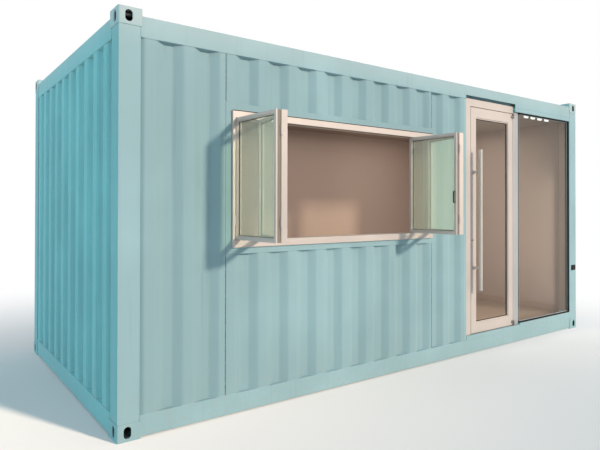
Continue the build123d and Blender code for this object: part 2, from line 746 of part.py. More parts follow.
def pull_handle(side):
    """Upright round bar on two standoffs: side -1 is in front of the leaf, 1 behind it."""
    along = LEAF_START + DOOR_STILE / 2
    face = DOOR_RECESS if side < 0 else DOOR_RECESS + DOOR_THICK
    deep = face + side * HANDLE_OFFSET
    low = LEAF_LOW + HANDLE_LOW
    bar = upright(HANDLE_R, along, deep, (low, low + HANDLE_LONG))
    for height in (low + STANDOFF_INSET, low + HANDLE_LONG - STANDOFF_INSET):
        place = Pos(LEFT + along, FRONT + (face + deep) / 2, height)
        bar += place * Rot(90, 0, 0) * Cylinder(STANDOFF_R, HANDLE_OFFSET)
    return bar


def door_lock():
    """Small flat lock face on the closing stile."""
    middle = LEAF_START + LOCK_FROM_EDGE
    low = LEAF_LOW + LOCK_UP - LOCK_HIGH / 2
    along = (middle - LOCK_LONG / 2, middle + LOCK_LONG / 2)
    return block(along, (DOOR_RECESS - LOCK_PROUD, DOOR_RECESS), (low, low + LOCK_HIGH))


def add_door():
    pieces["door_frame"] = door_frame()
    pieces["door_leaf"] = door_leaf()
    pieces["door_pane"] = door_pane()
    pieces["door_pull_handles"] = group([pull_handle(-1), pull_handle(1)])
    pieces["door_lock"] = door_lock()
    add_hinges()


# fixed glazing and the posts round the openings ------------------------------------------------

def fixed_pane():
    along = (GLASS_START + GASKET_FACE - PANE_BITE, GLASS_END - GASKET_FACE + PANE_BITE)
    high = (SILL_TOP + GASKET_FACE - PANE_BITE, GLASS_TOP - GASKET_FACE + PANE_BITE)
    return block(along, (FIXED_PANE_INSET, FIXED_PANE_INSET + FIXED_PANE), high)


def glass_gasket():
    """Deep rubber section round the fixed pane, cut flush with the mullion at its left side."""
    deep = (GASKET_INSET, GASKET_INSET + GASKET_DEEP)
    gasket = ring((GLASS_START, GLASS_END), deep, (SILL_TOP, GLASS_TOP), GASKET_FACE)
    left_side = (GLASS_START, GLASS_START + GASKET_FACE)
    between = (SILL_TOP + GASKET_FACE, GLASS_TOP - GASKET_FACE)
    return gasket - block(left_side, (0, MULLION_INSET), between) - fixed_pane()


def front_sill():
    """Tube under the door and the mullion, and a higher one under the fixed pane, in one."""
    deep = (FACE_INSET, SIDE_LINING_END)
    under_door = tube((DOOR_START, GLASS_START), deep, (RAIL_TOP, DOOR_SILL_TOP), TUBE_WALL, 0)
    under_pane = capped_tube((GLASS_START, LENGTH - POST_END), deep, (RAIL_TOP, SILL_TOP), TUBE_WALL)
    return under_door + under_pane


def add_glazing():
    pieces["glass_gasket"] = glass_gasket()
    pieces["glass_fixed"] = fixed_pane()
    pieces["front_sill"] = front_sill()
    mullion_deep = (MULLION_INSET, SIDE_LINING_END)
    mullion_high = (DOOR_SILL_TOP, GLASS_TOP)
    pieces["mullion"] = tube((DOOR_END, GLASS_START), mullion_deep, mullion_high, TUBE_WALL, 2)
    full_deep = (FACE_INSET, SIDE_LINING_END)
    header_high = (GLASS_TOP, TOP_RAIL_LOW)
    pieces["glass_header"] = capped_tube((DOOR_END, GLASS_END), full_deep, header_high, TUBE_WALL)
    pieces["glass_jamb"] = block((GLASS_END, LENGTH - POST_END), full_deep, (SILL_TOP, TOP_RAIL_LOW))
    door_post_span = (MIDDLE_END, DOOR_START)
    post_deep = (SHEET_INSET, SIDE_LINING_END)
    pieces["door_post"] = tube(door_post_span, post_deep, (RAIL_TOP, TOP_RAIL_LOW), TUBE_WALL, 2)


def add_power_box():
    middle = LENGTH - FACE_INSET - POST / 2
    along = (middle - BOX_LONG / 2, middle + BOX_LONG / 2)
    deep = (FACE_INSET - BOX_DEEP, FACE_INSET)
    pieces["power_box"] = block(along, deep, (BOX_LOW, BOX_LOW + BOX_HIGH))


def main():
    add_castings()
    add_frame()
    add_walls()
    add_floor()
    add_lining()
    add_window()
    add_door()
    add_glazing()
    add_power_box()
    os.makedirs("parts", exist_ok=True)
    for name, shape in pieces.items():
        shape.label = name
        export_step(shape, f"parts/{name}.step")
    print(len(pieces), "nodes")


main()
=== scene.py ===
"""Looks of a steel container cabin: eased folds, welds, seals, small fittings, finishes, light, camera."""

import json
import math

import bpy
import numpy as np
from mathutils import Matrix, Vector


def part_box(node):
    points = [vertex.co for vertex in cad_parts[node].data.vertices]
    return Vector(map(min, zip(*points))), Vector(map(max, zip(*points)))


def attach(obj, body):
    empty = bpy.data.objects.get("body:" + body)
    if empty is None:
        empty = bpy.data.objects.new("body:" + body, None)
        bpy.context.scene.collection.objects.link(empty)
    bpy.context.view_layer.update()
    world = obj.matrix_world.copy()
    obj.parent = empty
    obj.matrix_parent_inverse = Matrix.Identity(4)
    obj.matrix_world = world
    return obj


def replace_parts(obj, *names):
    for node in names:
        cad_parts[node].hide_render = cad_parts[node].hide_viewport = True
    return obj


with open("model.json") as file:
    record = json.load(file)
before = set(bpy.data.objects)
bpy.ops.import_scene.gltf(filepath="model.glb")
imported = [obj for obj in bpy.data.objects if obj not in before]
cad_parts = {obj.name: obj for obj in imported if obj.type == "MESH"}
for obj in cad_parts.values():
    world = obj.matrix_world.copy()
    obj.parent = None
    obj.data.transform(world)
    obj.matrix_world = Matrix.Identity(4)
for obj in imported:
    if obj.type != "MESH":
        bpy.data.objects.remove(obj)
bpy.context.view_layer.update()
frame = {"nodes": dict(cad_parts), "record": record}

# places that the pieces share, in metres; those along the front are measured from its left end
LENGTH, WIDTH = 5.9, 2.85
LEFT, FRONT = -LENGTH / 2, -WIDTH / 2
RAIL_TOP, TOP_RAIL_LOW, TOP_RAIL_TOP = 0.155, 2.707, 2.850
CASTING_TOP, TOP_CASTING_LOW = 0.118, 2.778
POST_FACE, POST_END = 0.004, 0.154
FLOOR_TOP, CEILING_LOW = 0.183, 2.660
SHEET, SHEET_INSET = 0.002, 0.008
SURROUND_LEFT, SURROUND_RIGHT = 0.800, 3.142
SURROUND_HIGH = (1.202, 2.342)
WINDOW_RIGHT = 3.092
MIDDLE_END = 3.600
PLAIN_WHITE = (1.0, 1.0, 1.0)

rng = np.random.default_rng(17)


# shapes ---------------------------------------------------------------------------------

def cells(rows, columns, ring):
    """Corners of every cell between grid rows: (i,j), (i+1,j), (i+1,j+1), (i,j+1).
    The columns always close on themselves; the rows do where ring is true."""
    i, j = np.meshgrid(np.arange(rows if ring else rows - 1), np.arange(columns), indexing="ij")
    below, beside = (i + 1) % rows, (j + 1) % columns
    corners = [i * columns + j, below * columns + j, below * columns + beside, i * columns + beside]
    return np.stack(corners, -1).reshape(-1, 4)


class Shell:
    """Closed surfaces gathered into one mesh."""

    def __init__(self):
        self.points, self.faces, self.count = [], [], 0

    def add(self, sections, ring=False):
        """Skin over closed sections, an array of sections x points x 3.
        Neighbouring sections are joined cell by cell; unless they run round in a ring, the first and the
        last are shut by their own outline.  The signed volume, a sixth of the sum of p . (q x r) over the
        triangles, says whether the faces have to be turned to point outwards."""
        sections = np.asarray(sections, float)
        rows, columns, _ = sections.shape
        flat = sections.reshape(-1, 3)
        quads = cells(rows, columns, ring)
        p, q, r, s = (flat[quads[:, k]] - flat.mean(0) for k in range(4))
        volume = np.einsum("ij,ij->i", p, np.cross(q, r)).sum()
        volume += np.einsum("ij,ij->i", p, np.cross(r, s)).sum()
        outlines = []
        if not ring:
            last = (rows - 1) * columns
            outlines = [np.arange(columns)[::-1], last + np.arange(columns)]
            for outline in outlines:
                a, fan = flat[outline[0]] - flat.mean(0), flat[outline[1:]] - flat.mean(0)
                volume -= np.einsum("j,ij->i", a, np.cross(fan[:-1], fan[1:])).sum()
        turn = -1 if volume < 0 else 1
        self.faces += [face[::turn] + self.count for face in quads]
        self.faces += [face[::-turn] + self.count for face in outlines]
        self.points.append(flat)
        self.count += len(flat)

    def piece(self, name, body, finish, smooth=35.0):
        """One mesh object at the origin that rides on a body; edges sharper than smooth stay crisp."""
        mesh = bpy.data.meshes.new(name)
        mesh.from_pydata(np.concatenate(self.points).tolist(), [], [face.tolist() for face in self.faces])
        mesh.polygons.foreach_set("use_smooth", np.ones(len(mesh.polygons), bool))
        mesh.set_sharp_from_angle(angle=math.radians(smooth))
        mesh.materials.append(finish)
        item = bpy.data.objects.new(name, mesh)
        bpy.context.scene.collection.objects.link(item)
        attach(item, body)
        return item


def upright_sections(outline, low, high):
    """A bar that stands up: its outline of (x, y) points at a low and at a high level."""
    return np.stack([np.column_stack([outline, np.full(len(outline), z)]) for z in (low, high)])


def lying_sections(outline, left, right):
    """A bar that lies along x: its outline of (y, z) points at a left and at a right place."""
    return np.stack([np.column_stack([np.full(len(outline), x), outline]) for x in (left, right)])


def block_sections(low, high):
    """A block from its lowest to its highest corner."""
    (x0, y0, z0), (x1, y1, z1) = low, high
    return upright_sections([(x0, y0), (x1, y0), (x1, y1), (x0, y1)], z0, z1)


def turned_sections(profile, sides, centre, axis):
    """A profile of (distance along the axis, radius) pairs turned once round the axis:
    point = centre + along * axis + radius * (cos a * u + sin a * v), with u and v square to the axis."""
    axis = np.asarray(axis, float)
    u = np.cross(axis, (0.0, 0.0, 1.0) if abs(axis[2]) < 0.9 else (1.0, 0.0, 0.0))
    u /= np.linalg.norm(u)
    v = np.cross(axis, u)
    angle = np.linspace(0, 2 * np.pi, sides, endpoint=False)
    along, radius = np.asarray(profile, float).T
    circle = np.cos(angle)[:, None] * u + np.sin(angle)[:, None] * v
    return np.asarray(centre) + along[:, None, None] * axis + radius[:, None, None] * circle


def framed_sections(outline, section, place=lambda points: points):
    """A section carried round a rectangle with mitred corners, then placed.
    outline is (x0, x1, z0, z1); a section point (inward, deep) stands inward from every side of it,
    so corner k of the section's loop is (x0 + inward, deep, z0 + inward) and so on round."""
    x0, x1, z0, z1 = outline
    inward, deep = np.asarray(section, float).T
    loops = []
    for x, z, sign_x, sign_z in ((x0, z0, 1, 1), (x1, z0, -1, 1), (x1, z1, -1, -1), (x0, z1, 1, -1)):
        loops.append(np.column_stack([x + sign_x * inward, deep, z + sign_z * inward]))
    return place(np.stack(loops))


def fold_corners(start, end, first_flat, outer, slope, inner, depth):
    """Corners of a folded line: outer flat at 0, slope, inner flat at depth, slope back, and so on.
    They are the four corners of one pitch, tiled from a flat before the start, and cut off at both ends."""
    pitch = outer + 2 * slope + inner
    begin = first_flat - pitch * math.ceil((first_flat - start) / pitch + 1)
    count = int((end - begin) / pitch) + 2
    at = (begin + pitch * np.arange(count)[:, None] + np.cumsum([0, outer, slope, inner])).ravel()
    deep = np.tile([0, 0, depth, depth], count)
    keep = (at > start + 0.001) & (at < end - 0.001)
    ends = np.interp([start, end], at, deep)
    return np.column_stack([
        np.concatenate([[start], at[keep], [end]]),
        np.concatenate([[ends[0]], deep[keep], [ends[1]]]),
    ])


def eased_line(corners, bend, flat_steps=5, bend_steps=4):
    """The folded line with each corner eased by a parabola.
    Corner C gives up a length bend on both sides, to P and Q; between them the line runs through
    (1-t)^2 P + 2t(1-t) C + t^2 Q, and from each Q to the next P it is straight."""
    step = np.diff(corners, axis=0)
    unit = step / np.linalg.norm(step, axis=1)[:, None]
    middle = corners[1:-1]
    before, after = middle - bend * unit[:-1], middle + bend * unit[1:]
    t = np.linspace(0, 1, bend_steps + 1)[None, :, None]
    arcs = (1 - t) ** 2 * before[:, None] + 2 * t * (1 - t) * middle[:, None] + t ** 2 * after[:, None]
    starts = np.concatenate([corners[:1], after])
    stops = np.concatenate([before, corners[-1:]])
    u = (np.arange(1, flat_steps) / flat_steps)[None, :, None]
    flats = starts[:, None] + u * (stops - starts)[:, None]
    runs = [flats[0]] + [part for pair in zip(arcs, flats[1:]) for part in pair]
    return np.concatenate([corners[:1]] + runs + [corners[-1:]])


def outward(line):
    """Unit normals of a line in the plane, its tangent turned a quarter towards the outer face."""
    tangent = np.gradient(line, axis=0)
    tangent /= np.linalg.norm(tangent, axis=1)[:, None]
    return np.column_stack([tangent[:, 1], -tangent[:, 0]])


def ripple(along, high, seed):
    """Slight unevenness of rolled sheet: five sine waves of random direction, length and phase, summed."""
    waves = np.random.default_rng(seed)
    total = 0.0
    for _ in range(5):
        k_along, k_high = waves.uniform(2, 14), waves.uniform(1, 7)
        total = total + np.sin(k_along * along + k_high * high + waves.uniform(0, 6.28))
    return total / 5


def sheet_sections(line, low, high, place, seed, uneven=0.0009, levels=22):
    """Folded sheet of even thickness: at each point of the line, a loop goes up the outer face and
    down the inner one.  Outer face = line + ripple * normal; inner face = outer - thickness * normal.
    The ripple fades to nothing at the lower and upper edges as sin(pi h)."""
    normal = outward(line)
    h = np.linspace(0, 1, levels)
    z = low + (high - low) * h
    wave = uneven * np.sin(np.pi * h)[None, :] * ripple(line[:, :1], z[None, :], seed)
    outer = line[:, None, :] + wave[..., None] * normal[:, None, :]
    inner = outer - SHEET * normal[:, None, :]
    outer = np.concatenate([outer, np.broadcast_to(z[None, :, None], outer.shape[:2] + (1,))], -1)
    inner = np.concatenate([inner, np.broadcast_to(z[None, :, None], inner.shape[:2] + (1,))], -1)
    return place(np.concatenate([outer, inner[:, ::-1]], 1))


def bead_sections(points, radius, across, over):
    """A weld bead or a run of sealant: circles of uneven radius strung along a line of points.
    Each point of a circle is p + r (cos a * across + sin a * over); r swells and shrinks with the
    beats of the weld and a little at random, and draws in at both ends."""
    count = len(points)
    beat = 1 + 0.10 * np.sin(np.arange(count) * 1.9) + 0.12 * rng.standard_normal(count)
    ends = np.minimum(1, (np.minimum(np.arange(count), np.arange(count)[::-1]) + 0.6) / 2)
    angle = np.linspace(0, 2 * np.pi, 8, endpoint=False)
    across = np.broadcast_to(across, (count, 3))[:, None]
    over = np.broadcast_to(over, (count, 3))[:, None]
    circle = np.cos(angle)[None, :, None] * across + np.sin(angle)[None, :, None] * over
    return points[:, None] + (radius * beat * ends)[:, None, None] * circle


# places --------------------------------------------------------------------------------

def front_place(points):
    """(along, deep, high) of the front's sheet into the shared frame: x = left + along,
    y = front + inset + deep."""
    return points + (LEFT, FRONT + SHEET_INSET, 0)


def back_place(points):
    """The front's place, turned over to the back: y changes sign."""
    return front_place(points) * (1, -1, 1)


def left_place(points):
    """A wall whose line starts at the back: x = left + inset + deep, y = half the width - along."""
    return np.stack([LEFT + SHEET_INSET + points[..., 1], WIDTH / 2 - points[..., 0], points[..., 2]], -1)


def right_place(points):
    """The left end's place, turned over to the right: x changes sign."""
    return left_place(points) * (-1, 1, 1)


def roof_place(points):
    """Folds lie flat: x = left + along, y = high, z = top of the rails - deep."""
    return np.stack([LEFT + points[..., 0], points[..., 2], TOP_RAIL_TOP - points[..., 1]], -1)


# shader maths ----------------------------------------------------------------------------

class Sock:
    """A node's output that can stand in an expression; each operator adds the Math node of its kind."""

    def __init__(self, finish, socket):
        self.finish, self.socket = finish, socket

    def maths(self, operation, *values):
        return self.finish.node("Math", {"operation": operation}, dict(enumerate(values)))

    def __add__(self, other):
        return self.maths("ADD", self, other)

    def __sub__(self, other):
        return self.maths("SUBTRACT", self, other)

    def __rsub__(self, other):
        return self.maths("SUBTRACT", other, self)

    def __mul__(self, other):
        return self.maths("MULTIPLY", self, other)

    __radd__, __rmul__ = __add__, __mul__

    def clip(self):
        """The value held between 0 and 1."""
        return self.finish.node("Clamp", {}, {0: self})

    def ease(self, low, high):
        """0 below low, 1 above high, a smooth step between."""
        limits = {"Value": self, "From Min": low, "From Max": high}
        return self.finish.node("MapRange", {"interpolation_type": "SMOOTHSTEP"}, limits)


# a casting's hollow along x, y and z: the cabin's middle, the nearest and the farthest distance from it
HOLLOWS = ((0.0, 2.795, 2.942), (0.0, 1.254, 1.417), (1.448, 1.334, 1.444))


class Finish:
    """A new material, or another owner's node tree, under construction."""

    def __init__(self, name, owner=None):
        self.material = owner or bpy.data.materials.new(name)
        self.material.use_nodes = True
        self.tree = self.material.node_tree
        self.tree.nodes.clear()
        self.place = self.node("TexCoord", {}, {}, "Object")

    def node(self, kind, settings, inputs, output=0):
        """Add a node with its settings and with plain values or sockets on its inputs; one output of it
        comes back."""
        made = self.tree.nodes.new("ShaderNode" + kind)
        for name, value in settings.items():
            setattr(made, name, value)
        for name, value in inputs.items():
            if isinstance(value, Sock):
                self.tree.links.new(value.socket, made.inputs[name])
            else:
                made.inputs[name].default_value = value
        return Sock(self, made.outputs[output]) if len(made.outputs) else None

    def mix(self, factor, first, second):
        """Two colours mixed; a plain colour is given as three numbers."""
        colours = [shade if isinstance(shade, Sock) else (*shade, 1) for shade in (first, second)]
        return self.node("Mix", {"data_type": "RGBA"}, {0: factor, 6: colours[0], 7: colours[1]}, 2)

    def stretched(self, scale):
        """The object's own coordinates, scaled differently along each axis."""
        return self.node("Mapping", {}, {"Vector": self.place, "Scale": scale})

    def noise(self, scale, detail, vector=None):
        """Cloudy noise between 0 and 1, scale clouds to the metre."""
        return self.node("TexNoise", {}, {"Vector": vector or self.place, "Scale": scale, "Detail": detail})

    def height(self, axis=2):
        """One coordinate of the place on the object, in metres."""
        return self.node("SeparateXYZ", {}, {0: self.place}, axis)

    def facing(self, axis=2):
        """One coordinate of the surface's true normal."""
        normal = self.node("NewGeometry", {}, {}, "Normal")
        return self.node("SeparateXYZ", {}, {0: normal}, axis)

    def size_of(self, value):
        """A value without its sign."""
        return self.node("Math", {"operation": "ABSOLUTE"}, {0: value})

    def in_castings(self):
        """1 inside the hollows of the eight corner castings, 0 elsewhere, from the distance of a place
        to the middle of the cabin along each axis."""
        inside, step = 1.0, 0.002
        for axis, (middle, low, high) in enumerate(HOLLOWS):
            away = self.size_of(self.height(axis) - middle)
            inside = away.ease(low, low + step) * (1 - away.ease(high - step, high)) * inside
        return inside

    def bump(self, height, strength, distance, under=None):
        """A normal tilted by a height, over another bump where one is given."""
        inputs = {"Height": height, "Strength": strength, "Distance": distance}
        if under is not None:
            inputs["Normal"] = under
        return self.node("Bump", {}, inputs)

    def done(self, **inputs):
        """Close the material with a Principled shader that has these inputs."""
        named = {name.replace("_", " "): value for name, value in inputs.items()}
        shader = self.node("BsdfPrincipled", {}, named)
        self.node("OutputMaterial", {}, {"Surface": shader})
        return self.material


def toned(shade, factor):
    """A colour times a factor, each part at most 1."""
    return tuple(min(1.0, factor * part) for part in shade)


def paint(name, shade, painted_lit_tone, dusty=0.25, painted_top_light=0.22, hollow=False):
    """Paint on steel: a paler copy of its colour, painted light, except where it faces an end, which keeps the
    full shade as painted shade; paler high up as painted light; with a cloudy tone, faint upright runs, dust
    on what faces up and dirt low down.  Where it is a casting's, the hollow is painted near black as painted
    shade."""
    black = (0.0, 0.0, 0.0)
    f = Finish(name)
    cloud = f.noise(1.1, 4.0)
    speck = f.noise(24.0, 5.0)
    runs = f.noise(1.0, 4.0, f.stretched((22.0, 22.0, 0.8)))
    # painted light and shade: surfaces square to an end keep the full saturated colour as painted shade, the
    # rest take the paler copy as painted light
    tone = f.mix(f.size_of(f.facing(0)).ease(0.55, 0.85), painted_lit_tone, shade)
    colour = f.mix((1 - cloud.ease(0.35, 0.68)) * 0.13, tone, black)
    colour = f.mix(runs.ease(0.55, 0.80) * 0.10, colour, black)
    low = 1 - f.height().ease(0.02, 0.55)
    dirt = (low * speck.ease(0.42, 0.70) * 0.30).clip()
    # painted light: the paint turns paler towards the top
    colour = f.mix(f.height().ease(2.62, 2.88) * painted_top_light, colour, (0.62, 0.66, 0.64))
    settled = f.facing().ease(0.55, 0.98) * speck.ease(0.30, 0.75) * dusty
    colour = f.mix(dirt, colour, (0.36, 0.40, 0.38))
    colour = f.mix(settled, colour, (0.55, 0.56, 0.52))
    # painted shade: the castings' hollows darkened nearly to black
    if hollow:
        colour = f.mix(f.in_castings() * 0.93, colour, (0.012, 0.012, 0.013))
    peel = f.bump(f.noise(420.0, 2.0), 0.10, 0.0006)
    relief = f.bump(f.noise(7.0, 2.0), 0.18, 0.004, peel)
    rough = speck * 0.16 + cloud * 0.10 + settled * 0.30 + 0.26
    return f.done(Base_Color=colour, Roughness=rough, Normal=relief, Specular_IOR_Level=0.03)


def drawn_aluminium(name, shade, metallic, rough):
    """Extruded and anodised section: long fine grain up and along, slight change of tone from bar to bar."""
    f = Finish(name)
    grain = f.noise(1.0, 2.0, f.stretched((900.0, 900.0, 9.0)))
    tone = f.noise(1.7, 2.0)
    smudge = f.noise(11.0, 5.0)
    colour = f.mix(tone.ease(0.3, 0.7), toned(shade, 0.93), toned(shade, 1.03))
    colour = f.mix(smudge.ease(0.58, 0.78) * 0.16, colour, toned(shade, 0.72))
    return f.done(Base_Color=colour, Metallic=metallic, Roughness=rough + smudge * 0.18 + grain * 0.05,
                  Normal=f.bump(grain, 0.06, 0.0004))


def glass(name, tint, haze=0.0):
    """Clear float glass, slightly green, with a faint film; shadow and diffuse rays pass with the tint
    only.  Haze is the share of pale dust on it, in clouds."""
    f = Finish(name)
    film = f.noise(3.0, 4.0)
    shader = f.node("BsdfPrincipled", {}, {
        "Base Color": (*tint, 1), "Roughness": film.ease(0.45, 0.9) * 0.05,
        "Transmission Weight": 1.0, "IOR": 1.18})
    if haze:
        dust = f.node("BsdfDiffuse", {}, {"Color": (0.80, 0.84, 0.72, 1)})
        glow = f.node("BsdfTranslucent", {}, {"Color": (0.82, 0.88, 0.74, 1)})
        veil = f.node("MixShader", {}, {0: 0.5, 1: dust, 2: glow})
        shader = f.node("MixShader", {}, {0: (film * 0.4 + 0.8) * haze, 1: shader, 2: veil})
    clear = f.node("BsdfTransparent", {}, {"Color": (*tint, 1)})
    shadow = f.node("LightPath", {}, {}, "Is Shadow Ray")
    diffuse = f.node("LightPath", {}, {}, "Is Diffuse Ray")
    both = f.node("MixShader", {}, {0: (shadow + diffuse).clip(), 1: shader, 2: clear})
    f.node("OutputMaterial", {}, {"Surface": both})
    return f.material


def boards(name, shade, upright, board, rough, seam_depth=1.0, figure=0.6):
    """Boards side by side, upright or along x: brick-pattern joints, a tone of its own for every board,
    fine long grain.  board is a board's length and width."""
    f = Finish(name)
    squash = (160.0, 160.0, 14.0) if upright else (14.0, 160.0, 160.0)
    turn = (0.0, math.pi / 2 if upright else 0.0, 0.0)
    laid = f.node("Mapping", {}, {"Vector": f.place, "Rotation": turn, "Location": (0.31, 0.02, 0.0)})
    settings = {"offset": 0.37, "offset_frequency": 2}
    sizes = {"Vector": laid, "Scale": 1.0, "Mortar Size": 0.0018, "Mortar Smooth": 0.4, "Bias": 0.0,
             "Brick Width": board[0], "Row Height": board[1],
             "Color1": (0.25, 0.25, 0.25, 1), "Color2": (0.75, 0.75, 0.75, 1), "Mortar": (0.0, 0.0, 0.0, 1)}
    laid_tone = f.node("TexBrick", settings, sizes)
    joint = f.node("TexBrick", settings, sizes, "Fac")
    grain = f.noise(1.0, 6.0, f.stretched(squash))
    knots = f.noise(2.3, 4.0)
    light = f.node("SeparateColor", {}, {0: laid_tone})
    tone = (light * 0.4 + grain * figure + 0.25 - figure * 0.4).clip()
    colour = f.mix(tone, toned(shade, 0.72), toned(shade, 1.16))
    colour = f.mix(knots.ease(0.55, 0.8) * 0.25, colour, toned(shade, 0.6))
    colour = f.mix(joint * 0.7 * seam_depth, colour, toned(shade, 0.3))
    relief = f.bump(1 - joint, 0.5 * seam_depth, 0.001)
    relief = f.bump(grain, 0.16 * figure, 0.0006, relief)
    return f.done(Base_Color=colour, Roughness=rough + grain * 0.2, Normal=relief)


def dark(name, shade, rough, grain_scale, relief_depth):
    """Rubber, moulded plastic or coated metal: nearly one dark tone, dusty here and there, fine relief."""
    f = Finish(name)
    grit = f.noise(grain_scale, 3.0)
    dust = f.noise(6.0, 5.0)
    colour = f.mix(dust.ease(0.5, 0.8) * 0.35, shade, tuple(part * 1.6 + 0.03 for part in shade))
    return f.done(Base_Color=colour, Roughness=rough + dust * 0.15,
                  Normal=f.bump(grit, 0.15, relief_depth), Specular_IOR_Level=0.12)


def brushed(name, shade, rough):
    """Brushed steel: fine cross grain, smudges that dull it."""
    f = Finish(name)
    grain = f.noise(1.0, 2.0, f.stretched((60.0, 60.0, 2400.0)))
    smudge = f.noise(30.0, 4.0)
    colour = f.mix(smudge.ease(0.4, 0.8) * 0.4, shade, toned(shade, 0.6))
    return f.done(Base_Color=colour, Metallic=0.85, Roughness=rough + smudge * 0.2 + grain * 0.08,
                  Normal=f.bump(grain, 0.08, 0.0003))


def lamp_cover():
    """Frosted cover of a ceiling lamp: pale, with a weak glow of its own colour."""
    f = Finish("frosted_lamp_cover")
    frost = f.noise(260.0, 2.0)
    colour = f.mix(frost, (0.86, 0.88, 0.88), (0.95, 0.96, 0.95))
    return f.done(Base_Color=colour, Roughness=frost * 0.2 + 0.4, Emission_Color=colour, Emission_Strength=0.9)


# lit and shaded copies of one aqua paint: the saturated tones, kept where a surface faces an end, are painted
# shade; the paler tones, on the front, back, roof and the ends' flanks, are painted light
AQUA = (0.170, 0.500, 0.535)
END_AQUA = (0.165, 0.520, 0.560)
PAINTED_LIT_END_FLANK = (0.300, 0.660, 0.680)
PAINTED_LIT_AQUA = (0.350, 0.520, 0.552)
FINISHES = {
    "painted_castings": paint("aqua_paint_castings", AQUA, PAINTED_LIT_AQUA, painted_top_light=0.42, hollow=True),
    "painted_frame": paint("aqua_paint_frame", AQUA, PAINTED_LIT_AQUA),
    "painted_wall": paint("aqua_paint_wall", AQUA, toned(PAINTED_LIT_AQUA, 0.91)),
    "painted_roof": paint("aqua_paint_roof", toned(PAINTED_LIT_AQUA, 0.95), PAINTED_LIT_AQUA, dusty=0.55),
    "primed_steel": dark("dark_primer", (0.045, 0.048, 0.05), 0.55, 300.0, 0.0006),
    "floor_boards": boards("brown_floor_boards", (0.238, 0.160, 0.113), False, (1.8, 0.16), 0.34),
    "wall_lining": boards("tan_wall_boards", (0.320, 0.225, 0.175), True, (2.7, 1.2), 0.50, 0.30, 0.10),
    "ceiling_lining": boards("tan_ceiling_boards", (0.29, 0.215, 0.170), False, (2.4, 1.2), 0.52, 0.30, 0.10),
    "skirting_wood": boards("brown_skirting", (0.290, 0.188, 0.138), False, (9.0, 9.0), 0.42, 0.0, 0.3),
    "cream_aluminium": drawn_aluminium("champagne_aluminium", (0.57, 0.50, 0.455), 0.15, 0.34),
    "grey_aluminium": drawn_aluminium("grey_aluminium", (0.40, 0.42, 0.43), 0.25, 0.34),
    "clear_glass": glass("green_float_glass", (0.92, 0.95, 0.92)),
    "hinge_metal": brushed("brushed_hinge_metal", (0.30, 0.285, 0.265), 0.34),
    "dark_metal": dark("dark_coated_metal", (0.045, 0.055, 0.045), 0.32, 500.0, 0.0003),
    "black_rubber": dark("black_rubber", (0.014, 0.016, 0.016), 0.62, 700.0, 0.0004),
    "black_plastic": dark("black_moulded_plastic", (0.010, 0.011, 0.011), 0.42, 900.0, 0.0003),
}
LAMP_COVER = lamp_cover()
# aluminium darkened as painted shade in the leaves' knuckle step
CHANNEL = drawn_aluminium("shaded_channel_aluminium", (0.27, 0.235, 0.185), 0.1, 0.45)
END_PAINT = paint("aqua_paint_ends", END_AQUA, PAINTED_LIT_END_FLANK)
HAZY = glass("hazy_leaf_glass", (0.95, 0.98, 0.93), 0.22)
SEALANT = dark("brown_sealant", (0.050, 0.036, 0.028), 0.60, 600.0, 0.0003)
# sealant for the bays' seams, dark teal as painted shade in them
SEAM_SEALANT_AND_SHADE = dark("seam_sealant_and_painted_shade", (0.060, 0.100, 0.105), 0.60, 600.0, 0.0003)
LEAF_SEAL = dark("grey_leaf_seal", (0.090, 0.082, 0.070), 0.60, 700.0, 0.0003)
# carried-over nodes whose finish is not their material slot's usual one
SPECIAL = {"window_panes": HAZY, "window_hinges": FINISHES["cream_aluminium"],
           "top_end_rails": END_PAINT, "bottom_end_rails": END_PAINT}

for row in frame["record"]["subparts"]:
    node = frame["nodes"][row["node"]]
    node.data.materials.clear()
    node.data.materials.append(SPECIAL.get(row["node"], FINISHES[row["material_slot"]]))


# edges of the carried-over pieces ------------------------------------------------------------

def ease_edges(names, width, segments=2):
    """Eased edges by modifiers: loose triangles welded, flat faces joined, edges sharper than 30
    degrees rounded over a width, normals weighed by the faces' areas."""
    for name in names:
        item = frame["nodes"][name]
        item.modifiers.new("weld", "WELD").merge_threshold = 0.00002
        flat = item.modifiers.new("flat", "DECIMATE")
        flat.decimate_type = "DISSOLVE"
        flat.angle_limit = math.radians(0.4)
        edge = item.modifiers.new("edge", "BEVEL")
        edge.width, edge.segments = width, segments
        edge.limit_method, edge.angle_limit = "ANGLE", math.radians(30.0)
        item.modifiers.new("normals", "WEIGHTED_NORMAL").keep_sharp = True


CASTINGS = [name for name in frame["nodes"] if name.startswith("casting")]
ease_edges(CASTINGS, 0.006, segments=3)
ease_edges(["corner_posts"], 0.004)
ease_edges(["bottom_rail_front", "bottom_rail_back", "top_rail_front", "top_rail_back",
            "bottom_end_rails", "top_end_rails", "window_surround"], 0.0025)
ease_edges(["window_frame", "window_leaf_left_jamb", "window_leaf_left_track", "window_leaf_right_jamb",
            "window_leaf_right_track", "door_frame", "door_leaf", "mullion", "front_sill", "glass_header",
            "glass_jamb", "door_post"], 0.0015)
ease_edges(["window_leaf_handle", "power_box"], 0.003)


# folded sheets ---------------------------------------------------------------------------

# outer flat, slope, inner flat and depth of the folds
SIDE = (0.077, 0.068, 0.070, 0.036)
END = (0.110, 0.020, 0.107, 0.046)
ROOF = (0.092, 0.014, 0.089, 0.020)
# where the first outer flat of a run of folds starts, along its wall
SIDE_START, BAY_START, MIDDLE_START, END_START = 0.183, 0.804, 3.272, POST_END + END[1]
BEND = 0.011
SEAM = 0.002
ROOF_ENDS, ROOF_SIDES = 0.162, 0.064


